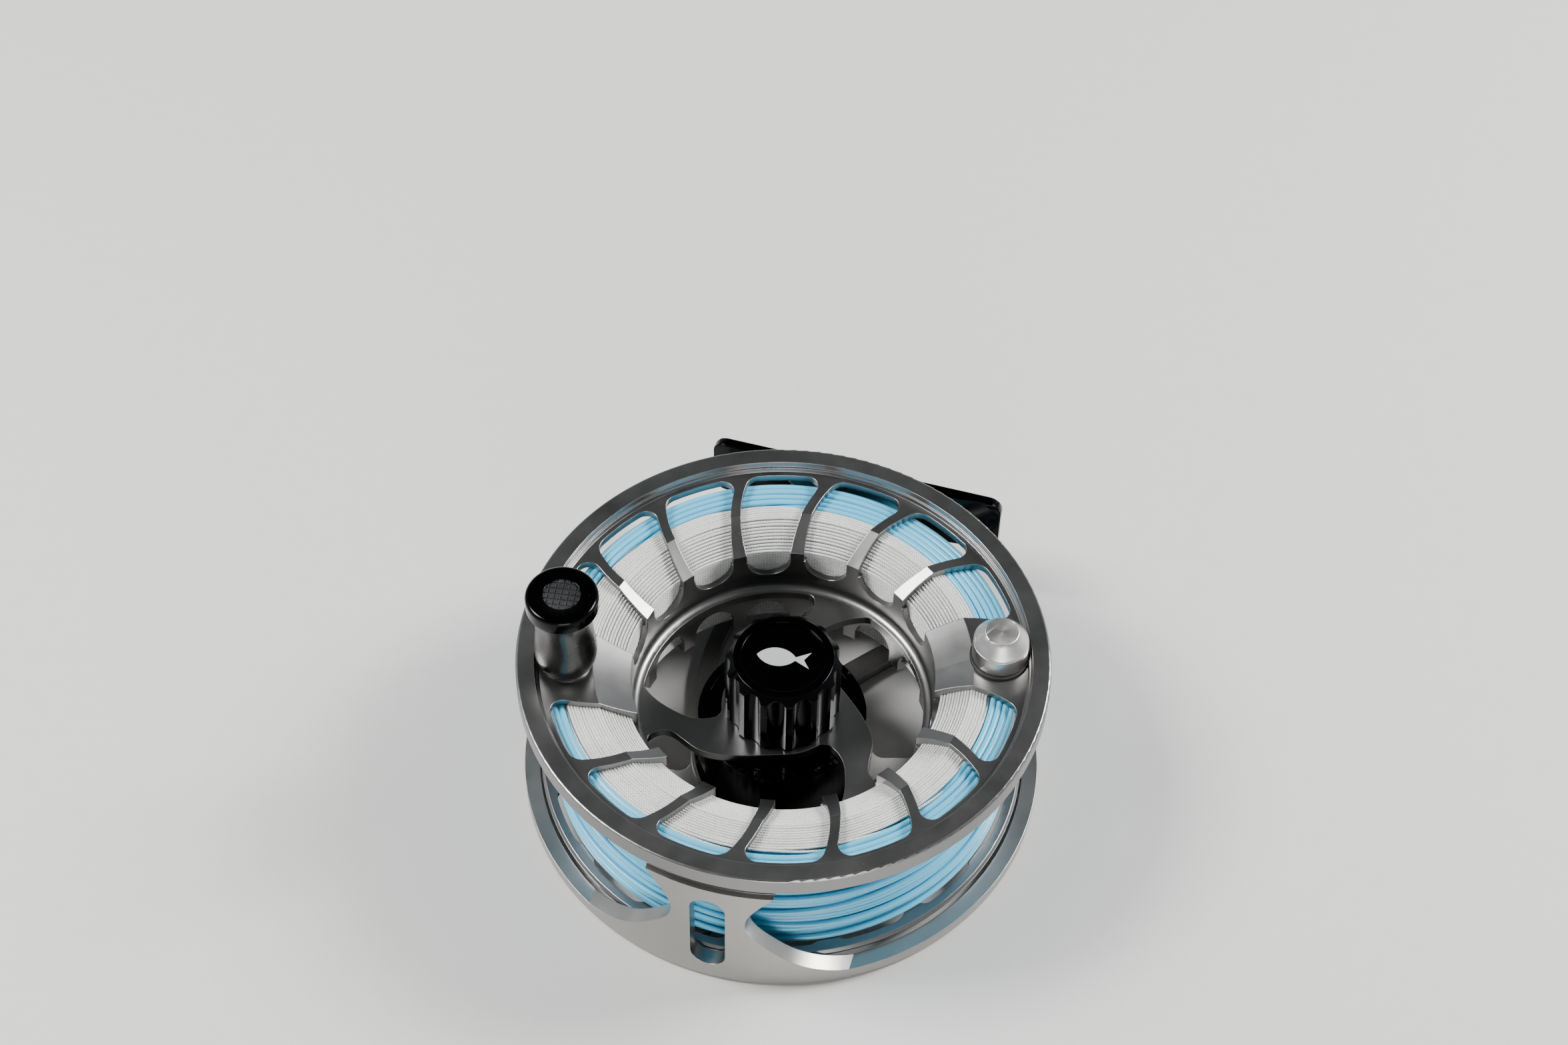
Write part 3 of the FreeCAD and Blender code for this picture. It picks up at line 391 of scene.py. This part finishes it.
@dataclass(frozen=True)
class Anodised(Finish):
    """Dyed aluminium oxide over a blasted or polished surface."""

    grain: float = 0.02
    # Colour and strength of the lighter edges: partly wear, partly painted highlight.
    wear_and_highlight_colour: tuple[float, float, float] = (0.5, 0.52, 0.54)
    wear_and_highlight: float = 0.5
    stain: float = 0.08
    turned: float = 0.0
    rounding: float = 1.2e-4
    dust: float = 0.3

    def build(self) -> bpy.types.Material:
        """The material: metal with fine grain, faint stains and lighter edges, partly wear and partly
        painted highlight.
        """
        material, g, shader = self.start()
        shader.inputs["Metallic"].default_value = 1.0
        grain = self.group(g, Effects.grain(), {"Scale": 5000.0, "Stain Scale": 90.0})
        soft = g.node("Bevel", {"Radius": self.rounding}, samples=6).outputs[0]
        own = g.node("NewGeometry").outputs["Normal"]
        agreement = g.node("VectorMath", {0: soft, 1: own}, operation="DOT_PRODUCT").outputs["Value"]
        # Edge mask from the rounded normal: marks the edges that get partly wear and partly painted
        # highlight.
        wear_and_highlight_edges = self.group(g, Effects.edge_wear_and_highlight(), {"Agreement": agreement})
        stain = g.ramp(grain.outputs["Stain"], 0.3, 0.7, 1 - self.stain, 1 + self.stain)
        tint = g.node("VectorMath", {0: self.colour, 3: stain}, operation="SCALE").outputs[0]
        mask = g.math("MULTIPLY", wear_and_highlight_edges.outputs["Mask"], self.wear_and_highlight)
        specks = self.group(g, Effects.dust()).outputs["Mask"]
        # Painted highlight and wear: the edges blend towards the lighter edge colour.
        wear_and_highlight_tint = g.mix(mask, tint, shade(self.wear_and_highlight_colour))
        g.tree.links.new(g.mix(g.math("MULTIPLY", specks, self.dust), wear_and_highlight_tint, shade((0.75, 0.75, 0.73))),
                         shader.inputs["Base Color"])
        rough = g.ramp(grain.outputs["Stain"], 0.3, 0.7, self.roughness * 0.88, self.roughness * 1.12)
        g.tree.links.new(rough, shader.inputs["Roughness"])
        height = grain.outputs["Height"]
        if self.turned:
            marks = self.group(g, Effects.turning(), {"Pitch": 1.6e-4})
            height = g.math("ADD", height, g.math("MULTIPLY", marks.outputs["Height"], self.turned))
        bump = g.node("Bump", {"Height": height, "Strength": self.grain, "Distance": 2e-5,
                               "Normal": soft})
        g.tree.links.new(bump.outputs[0], shader.inputs["Normal"])
        return material


@dataclass(frozen=True)
class Turned(Finish):
    """Bare metal straight off the lathe."""

    centre: tuple[float, float] = (0.0, 0.0)
    pitch: float = 1.1e-4
    depth: float = 0.35
    streaks: float = 0.6

    def build(self) -> bpy.types.Material:
        """The material: metal with rings of tool marks, which stretch highlights outwards."""
        material, g, shader = self.start()
        shader.inputs["Metallic"].default_value = 1.0
        shader.inputs["Anisotropic"].default_value = self.streaks
        place = g.node("TexCoord").outputs["Object"]
        arm = g.node("VectorMath", {0: place, 1: (*self.centre, 0.0)}, operation="SUBTRACT").outputs[0]
        around = g.node("VectorMath", {0: (0.0, 0.0, 1.0), 1: arm}, operation="CROSS_PRODUCT").outputs[0]
        in_world = g.node("VectorTransform", {0: around}, vector_type="VECTOR",
                          convert_from="OBJECT", convert_to="WORLD").outputs[0]
        along = g.node("VectorMath", {0: in_world}, operation="NORMALIZE").outputs[0]
        g.tree.links.new(along, shader.inputs["Tangent"])
        marks = self.group(g, Effects.turning(), {"Centre X": self.centre[0],
                                                  "Centre Y": self.centre[1], "Pitch": self.pitch})
        grain = self.group(g, Effects.grain(), {"Scale": 2500.0, "Stain Scale": 150.0})
        rough = g.ramp(grain.outputs["Stain"], 0.3, 0.7, self.roughness * 0.8, self.roughness * 1.25)
        g.tree.links.new(rough, shader.inputs["Roughness"])
        tint = g.ramp(grain.outputs["Stain"], 0.3, 0.7, 0.94, 1.05)
        colour = g.node("VectorMath", {0: self.colour, 3: tint}, operation="SCALE").outputs[0]
        g.tree.links.new(colour, shader.inputs["Base Color"])
        bump = g.node("Bump", {"Height": marks.outputs["Height"], "Strength": self.depth,
                               "Distance": 1.5e-5})
        g.tree.links.new(bump.outputs[0], shader.inputs["Normal"])
        return material


@dataclass(frozen=True)
class CoatedLine(Finish):
    """Smooth plastic coat of a fly line, on UV with U along the line."""

    dark: tuple[float, float, float] = (0.05, 0.33, 0.52)

    def build(self) -> bpy.types.Material:
        """The material: glossy coat whose colour drifts a little along the line."""
        material, g, shader = self.start()
        shader.inputs["Coat Weight"].default_value = 0.35
        shader.inputs["Coat Roughness"].default_value = 0.18
        shader.inputs["Subsurface Weight"].default_value = 0.12
        shader.inputs["Subsurface Scale"].default_value = 0.0006
        shader.inputs["Subsurface Radius"].default_value = (0.5, 0.9, 1.0)
        place = g.node("TexCoord").outputs["Object"]
        drift = g.node("TexNoise", {"Vector": place, "Scale": 45.0, "Detail": 3.0}).outputs["Fac"]
        g.tree.links.new(g.mix(g.ramp(drift, 0.35, 0.75, 0.0, 0.35), shade(self.colour),
                               shade(self.dark)), shader.inputs["Base Color"])
        skin = g.node("TexNoise", {"Vector": place, "Scale": 3500.0, "Detail": 2.0}).outputs["Fac"]
        g.tree.links.new(g.ramp(skin, 0.3, 0.7, self.roughness * 0.85, self.roughness * 1.2),
                         shader.inputs["Roughness"])
        bump = g.node("Bump", {"Height": skin, "Strength": 0.06, "Distance": 2e-5})
        g.tree.links.new(bump.outputs[0], shader.inputs["Normal"])
        return material


@dataclass(frozen=True)
class Braid(Finish):
    """Flat-braided backing, on UV with U counting picks along the line and V once round it."""

    # Grey of the painted shade in the low places between the yarns.
    painted_gap_shade: tuple[float, float, float] = (0.26, 0.26, 0.24)
    strands: int = 4

    def build(self) -> bpy.types.Material:
        """The material: two sets of yarns that slant opposite ways and pass over each other, with painted
        shade in the low places between them.
        """
        material, g, shader = self.start()
        shader.inputs["Sheen Weight"].default_value = 0.3
        shader.inputs["Sheen Roughness"].default_value = 0.4
        split = g.node("SeparateXYZ", {0: g.node("UVMap", uv_map="UVMap").outputs[0]})
        along, about = split.outputs[0], g.math("MULTIPLY", split.outputs[1], float(self.strands))
        left = g.math("ABSOLUTE", g.math("SINE", g.math("MULTIPLY", g.math("ADD", along, about), math.pi)))
        lean = g.math("MULTIPLY", g.math("SUBTRACT", along, about), math.pi)
        right = g.math("ABSOLUTE", g.math("SINE", lean))
        over = g.math("MULTIPLY", left, right)
        place = g.node("TexCoord").outputs["Object"]
        fuzz = g.node("TexNoise", {"Vector": place, "Scale": 2600.0, "Detail": 3.0}).outputs["Fac"]
        broad = g.node("TexNoise", {"Vector": place, "Scale": 120.0, "Detail": 3.0}).outputs["Fac"]
        height = g.math("ADD", over, g.math("MULTIPLY", fuzz, 0.5))
        # Painted shade between the yarns: the colour falls to the grey where the braid's height is low; a
        # broad noise adds random tone.
        tone = g.math("MULTIPLY", g.ramp(height, 0.2, 0.85), g.ramp(broad, 0.3, 0.7, 0.8, 1.0))
        g.tree.links.new(g.mix(tone, shade(self.painted_gap_shade), shade(self.colour)), shader.inputs["Base Color"])
        bump = g.node("Bump", {"Height": height, "Strength": 0.7, "Distance": 6e-5})
        g.tree.links.new(bump.outputs[0], shader.inputs["Normal"])
        return material


@dataclass(frozen=True)
class Moulded(Finish):
    """Rubber or bearing plastic."""

    def build(self) -> bpy.types.Material:
        """The material: dull skin with a faint pebble and dusty patches."""
        material, g, shader = self.start()
        grain = self.group(g, Effects.grain(), {"Scale": 1800.0, "Stain Scale": 200.0})
        dust = g.ramp(grain.outputs["Stain"], 0.45, 0.75, 0.0, 0.06)
        g.tree.links.new(g.mix(dust, shade(self.colour), shade((0.4, 0.4, 0.4))),
                         shader.inputs["Base Color"])
        bump = g.node("Bump", {"Height": grain.outputs["Height"], "Strength": 0.25, "Distance": 3e-5})
        g.tree.links.new(bump.outputs[0], shader.inputs["Normal"])
        return material


@dataclass(frozen=True)
class Weave(Finish):
    """Woven carbon composite."""

    pitch: float = 8e-4

    def build(self) -> bpy.types.Material:
        """The material: a checker of tows that lie one way and the other."""
        material, g, shader = self.start()
        place = g.node("TexCoord").outputs["Object"]
        tows = g.node("TexChecker", {"Vector": place, "Scale": 1 / self.pitch,
                                     "Color1": shade(self.colour), "Color2": (0.06, 0.06, 0.065, 1)})
        g.tree.links.new(tows.outputs["Color"], shader.inputs["Base Color"])
        bump = g.node("Bump", {"Height": tows.outputs["Fac"], "Strength": 0.3, "Distance": 4e-5})
        g.tree.links.new(bump.outputs[0], shader.inputs["Normal"])
        return material


HANDLE_XY = (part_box("handle_post")[0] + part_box("handle_post")[1]) / 2
WEIGHT_XY = (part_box("counterweight")[0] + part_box("counterweight")[1]) / 2

SPOOL_METAL = Anodised("satin gunmetal", (0.245, 0.242, 0.238), 0.30, grain=0.10, wear_and_highlight=0.6,
                       turned=0.2, stain=0.025, rounding=1.8e-4, dust=0.5)
FRAME_METAL = Anodised("satin grey", (0.37, 0.365, 0.35), 0.34, grain=0.10, wear_and_highlight=0.5, stain=0.03,
                       rounding=1.8e-4, dust=0.4)
KNOB_BLACK = Anodised("fluted black anodising", (0.012, 0.012, 0.013), 0.13, grain=0.02,
                      wear_and_highlight_colour=(0.08, 0.08, 0.085), wear_and_highlight=0.3, stain=0.02, rounding=1.2e-4, dust=0.25)
GLOSS_BLACK = Anodised("gloss black anodising", (0.012, 0.012, 0.013), 0.13, grain=0.02,
                       wear_and_highlight_colour=(0.08, 0.08, 0.085), wear_and_highlight=0.3, stain=0.02)
GRIP_METAL = Anodised("dark satin anodising", (0.085, 0.083, 0.08), 0.27, grain=0.05, wear_and_highlight=0.3,
                      stain=0.03)
PALE_METAL = Anodised("machined aluminium", (0.6, 0.6, 0.62), 0.35, grain=0.1, wear_and_highlight=0.2)
STEEL = Turned("turned steel", (0.55, 0.55, 0.56), 0.3)
STAINLESS = Turned("stainless weight", (0.60, 0.585, 0.56), 0.34, centre=(WEIGHT_XY.x, WEIGHT_XY.y),
                   depth=0.12, streaks=0.45)
POST_STEEL = Turned("handle steel", (0.5, 0.5, 0.51), 0.28, centre=(HANDLE_XY.x, HANDLE_XY.y))
BRASS = Turned("turned brass", (0.75, 0.58, 0.28), 0.28)
SPRING = Turned("blued spring steel", (0.2, 0.2, 0.24), 0.3)
LINE_COAT = CoatedLine("fly line coat", (0.11, 0.49, 0.71), 0.3)
BACKING_BRAID = Braid("braided backing", (0.93, 0.94, 0.92), 0.6)
RUBBER = Moulded("black rubber", (0.014, 0.014, 0.014), 0.55)
BUSH = Moulded("bearing plastic", (0.05, 0.05, 0.05), 0.4)
WAFFLE = Moulded("waffle insert", (0.007, 0.008, 0.009), 0.42)
PRINT = Moulded("light grey print", (0.33, 0.34, 0.34), 0.5)
CARBON = Weave("woven carbon", (0.02, 0.02, 0.022), 0.4)


def dress(item: bpy.types.Object, finish: Finish) -> None:
    """Give an object one finish, built the first time that it is asked for."""
    material = bpy.data.materials.get(finish.name) or finish.build()
    item.data.materials.clear()
    item.data.materials.append(material)


# ---- the wound line ---------------------------------------------------------------------------
@dataclass
class Winding:
    """Backing and fly line on the spool, as turns that lie side by side."""

    line: float = 1.25 * MM
    thread: float = 0.58 * MM
    inner: float = 31.4 * MM
    seam: float = 41.8 * MM
    seam_shift: float = 2.0 * MM
    seam_angle: float = math.radians(242)
    outer: float = 46.3 * MM
    cone_r: float = 37.4 * MM
    cone_slope: float = 0.6555
    rear_slope: float = 0.57
    steps: int = 132
    loose_turns: int = 13
    line_sides: int = 9
    seed: int = 7
    low: float = field(default_factory=lambda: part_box("fly_line")[0].z)
    high: float = field(default_factory=lambda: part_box("fly_line")[1].z)

    def wave(self, rng: np.random.Generator, count: int, size: float, harmonics: int = 5) -> np.ndarray:
        """Smooth closed wandering: a sum of a few sines of the angle with random phase and weight.

        Args:
            rng: the seeded source of numbers.
            count: how many turns.
            size: about how far each turn wanders.
            harmonics: how many sines are summed.

        Returns:
            One row for each turn.
        """
        a = np.linspace(0, FULL_TURN, self.steps, endpoint=False)
        k = np.arange(1, harmonics + 1)
        phase = rng.uniform(0, FULL_TURN, (count, harmonics, 1))
        weight = rng.normal(0, 1, (count, harmonics, 1)) / np.sqrt(k)[None, :, None]
        return size * (weight * np.sin(k[None, :, None] * a + phase)).sum(1) / math.sqrt(harmonics)

    def seam_r(self) -> np.ndarray:
        """Radius of the seam between backing and fly line: a circle a little off the axis."""
        a = np.linspace(0, FULL_TURN, self.steps, endpoint=False)
        return self.seam + self.seam_shift * np.cos(a - self.seam_angle)

    def face_z(self, r: np.ndarray, front: bool) -> np.ndarray:
        """Height of the wound face at a radius: flat outside, leaning inwards over the cone."""
        inside = np.maximum(0.0, self.cone_r - r)
        return self.high - inside * self.cone_slope if front else self.low + inside * self.rear_slope

    def face_turns(self, radii: np.ndarray, thick: float, front: bool, sunk_outside: bool,
                   rng: np.random.Generator) -> tuple[np.ndarray, np.ndarray]:
        """Centre lines of the turns on one face of the winding.

        A turn sinks by two thicknesses where it would lie on the wrong side of the seam.
        """
        r = radii[:, None] + self.wave(rng, len(radii), thick * 0.07)
        past = r - self.seam_r()[None, :] if sunk_outside else self.seam_r()[None, :] - r
        sink = 2 * thick * np.clip(past / (0.8 * thick) + 0.5, 0, 1)
        into = (thick * 0.5 + sink + np.abs(self.wave(rng, len(radii), thick * 0.1))) * (1 if front else -1)
        return r, self.face_z(r, front) - into

    def build_line(self) -> bpy.types.Object:
        """The fly line: an even layer, loose turns over it, and the turns that show on both faces."""
        rng = np.random.default_rng(self.seed)
        t = self.line
        count = int((self.high - self.low) / (t * 1.02))
        z = np.linspace(self.low + t * 0.6, self.high - t * 0.6, count)
        base_r = self.outer - t * 1.35 + self.wave(rng, count, t * 0.1)
        base_z = z[:, None] + self.wave(rng, count, t * 0.16)
        loose = self.loose_turns
        over = np.linspace(self.low + t * 1.2, self.high - t * 1.2, loose) + rng.normal(0, t * 0.5, loose)
        over_z = np.clip(over[:, None] + self.wave(rng, loose, t * 1.1, 3), self.low + t * 0.6,
                         self.high - t * 0.6)
        over_r = self.outer - t * 0.5 + self.wave(rng, loose, t * 0.13)
        radii = np.arange(self.outer - t * 0.5, self.seam - self.seam_shift - t, -t * 1.01)
        sets = [(base_r, base_z), (over_r, over_z)]
        sets += [self.face_turns(radii, t, front, False, rng) for front in (True, False)]
        core = [(self.seam - t, self.low + t), (self.outer - t * 1.5, self.low + t),
                (self.outer - t * 1.5, self.high - t), (self.seam - t, self.high - t)]
        body = lathe(core, self.steps, 1 / t)
        for r_rows, z_rows in sets:
            for r_row, z_row in zip(r_rows, z_rows):
                body = body.joined(ring_strand(r_row, z_row, t, self.line_sides, 1 / t))
        return self.place(body, "fly_line_turns", "fly_line", LINE_COAT, "fly_line")

    def build_backing(self) -> bpy.types.Object:
        """The backing: turns on both faces and on the inner wall, round a plain core."""
        rng = np.random.default_rng(self.seed + 1)
        t = self.thread
        radii = np.arange(self.inner + t * 0.5, self.seam + self.seam_shift + t, t * 0.98)
        sets = [self.face_turns(radii, t, front, True, rng) for front in (True, False)]
        low = float(self.face_z(np.array(self.inner), False)) + t
        high = float(self.face_z(np.array(self.inner), True)) - t
        count = int((high - low) / t)
        wall_z = np.linspace(low, high, count)[:, None] + self.wave(rng, count, t * 0.08)
        sets.append((self.inner + t * 0.5 + self.wave(rng, count, t * 0.04), wall_z))
        r_in, r_out = self.inner + t * 0.6, self.seam - self.line
        core = [(r_in, low), (self.cone_r, self.low + t), (r_out, self.low + t),
                (r_out, self.high - t), (self.cone_r, self.high - t), (r_in, high)]
        body = lathe(core, self.steps, 1 / t)
        for r_rows, z_rows in sets:
            for r_row, z_row in zip(r_rows, z_rows):
                body = body.joined(ring_strand(r_row, z_row, t, 6, 1 / t))
        return self.place(body, "backing_turns", "backing", BACKING_BRAID, "backing")

    def place(self, body: Surface, name: str, node: str, finish: Finish, slot: str) -> bpy.types.Object:
        """Make the object, dress it and let it ride on the spool."""
        item = body.to_object(name)
        dress(item, finish)
        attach(item, "spool")
        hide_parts(node)
        LOG.info("%s: %d faces", name, len(item.data.polygons))
        return item


# ---- pieces with rounded edges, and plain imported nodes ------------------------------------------
@dataclass
class SoftPieces:
    """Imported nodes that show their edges, each shown as a copy with its edges rounded."""

    edge: float = 0.16 * MM
    fine: float = 0.10 * MM

    def build(self) -> None:
        """Make and dress every copy."""
        rows = [
            ("reel_foot", "foot_plate", self.edge * 1.5, GLOSS_BLACK, "black_anodise"),
            ("drag_housing", "canister_shell", self.edge, GLOSS_BLACK, "black_anodise"),
            ("handle_grip", "grip_body", self.fine, GRIP_METAL, "grip_metal"),
            ("handle_cap", "cap_body", self.fine, GLOSS_BLACK, "black_anodise"),
            ("handle_insert", "waffle_disc", self.fine * 0.5, WAFFLE, "insert"),
            ("counterweight", "weight_body", self.fine, STAINLESS, "stainless"),
            ("counterweight_seal", "weight_washer", self.edge, RUBBER, "rubber"),
            ("back_cap", "cap_plate", self.fine, GLOSS_BLACK, "black_anodise"),
        ]
        for node, name, width, finish, slot in rows:
            item = softened(node, name, width)
            dress(item, finish)
            LOG.info("%s stands for %s", name, node)


@dataclass
class PlainNodes:
    """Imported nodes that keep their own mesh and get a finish."""

    def build(self) -> None:
        """Dress every node."""
        finishes = {
            STEEL: ["foot_screws", "housing_screws", "spindle", "spindle_nut", "fixed_discs",
                    "pressure_plate", "thrust_collar", "push_rod", "cross_pin", "clutch_bearing",
                    "drive_hub", "front_bearing", "rear_bearing", "counterweight_screw"],
            POST_STEEL: ["handle_post", "handle_screw"],
            SPRING: ["drag_spring", "bearing_circlip"],
            GLOSS_BLACK: ["drag_lid", "knob_disc"],
            RUBBER: ["drag_seal", "spindle_ring"],
            BRASS: ["bearing_sleeve", "knob_insert"],
            PALE_METAL: ["drag_drum"],
            CARBON: ["rotor_discs"],
            BUSH: ["handle_bushes"],
            PRINT: ["knob_mark"],
            SPOOL_METAL: ["spool"],
            FRAME_METAL: ["frame"],
            KNOB_BLACK: ["knob"],
        }
        for finish, nodes in finishes.items():
            for node in nodes:
                dress(frame["nodes"][node], finish)


# ---- studio -----------------------------------------------------------------------------------
@dataclass
class Studio:
    """Pale floor, soft lights and the camera."""

    eye: tuple[float, float, float] = (0.08308, -0.31718, 0.48430)
    right: tuple[float, float, float] = (0.96214, 0.27216, 0.01446)
    up: tuple[float, float, float] = (-0.22047, 0.74605, 0.62833)
    back: tuple[float, float, float] = (0.16022, -0.60774, 0.77781)
    lens: float = 64.86
    sensor: float = 36.0
    floor_r: float = 1.6
    floor_drop: float = 0.02 * MM
    floor_corners: int = 64

    def build(self) -> None:
        """Make the floor, the world, the lights and the camera."""
        self.floor()
        self.world()
        self.soft_box("left overhead", (-0.64, -0.13, 0.755), 0.34, 15.0)
        self.soft_box("right back", (0.70, 0.46, 0.70), 0.36, 19.0)
        self.soft_box("front", (0.35, -0.95, 0.28), 0.5, 5.0)
        self.camera()

    def floor(self) -> None:
        """A wide round sheet just under the reel, one flat face with its corners on a circle."""
        a = np.linspace(0, FULL_TURN, self.floor_corners, endpoint=False)
        edge = np.stack([self.floor_r * np.cos(a), self.floor_r * np.sin(a), 0 * a - self.floor_drop], -1)
        mesh = bpy.data.meshes.new("floor")
        mesh.from_pydata(edge.tolist(), [], [list(range(self.floor_corners))])
        item = bpy.data.objects.new("floor", mesh)
        bpy.context.scene.collection.objects.link(item)
        dress(item, Moulded("pale floor", (0.62, 0.61, 0.59), 0.6))

    def world(self) -> None:
        """Dim light from all round, brightest near the horizon."""
        world = bpy.data.worlds.new("studio")
        world.use_nodes = True
        g = Graph(world.node_tree)
        rise = g.node("SeparateXYZ", {0: g.node("TexCoord").outputs["Generated"]}).outputs[2]
        sky = g.mix(g.ramp(rise, 0.05, 0.75), (0.62, 0.66, 0.70, 1), (0.10, 0.105, 0.11, 1))
        g.node("OutputWorld", {"Surface": g.node("Background", {"Color": sky}).outputs[0]})
        bpy.context.scene.world = world

    def soft_box(self, name: str, place: tuple[float, float, float], size: float, power: float) -> None:
        """A square soft light that points at the reel."""
        lamp = bpy.data.lights.new(name, "AREA")
        lamp.energy = power
        lamp.size = size
        item = bpy.data.objects.new(name, lamp)
        bpy.context.scene.collection.objects.link(item)
        item.location = place
        item.rotation_euler = item.location.to_track_quat("Z", "Y").to_euler()

    def camera(self) -> None:
        """The camera from its place and its three axes."""
        lens = bpy.data.cameras.new("camera")
        lens.lens = self.lens
        lens.sensor_width = self.sensor
        lens.clip_start = 0.01
        item = bpy.data.objects.new("camera", lens)
        bpy.context.scene.collection.objects.link(item)
        turn = Matrix((self.right, self.up, self.back)).transposed().to_4x4()
        item.matrix_world = Matrix.Translation(self.eye) @ turn
        bpy.context.scene.camera = item


def main() -> None:
    """Build the reel's looks in order."""
    logging.basicConfig(level=logging.INFO, format="%(name)s %(message)s")
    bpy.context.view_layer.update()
    Studio().build()
    winding = Winding()
    winding.build_line()
    winding.build_backing()
    SoftPieces().build()
    PlainNodes().build()


if __name__ == "__main__":
    main()
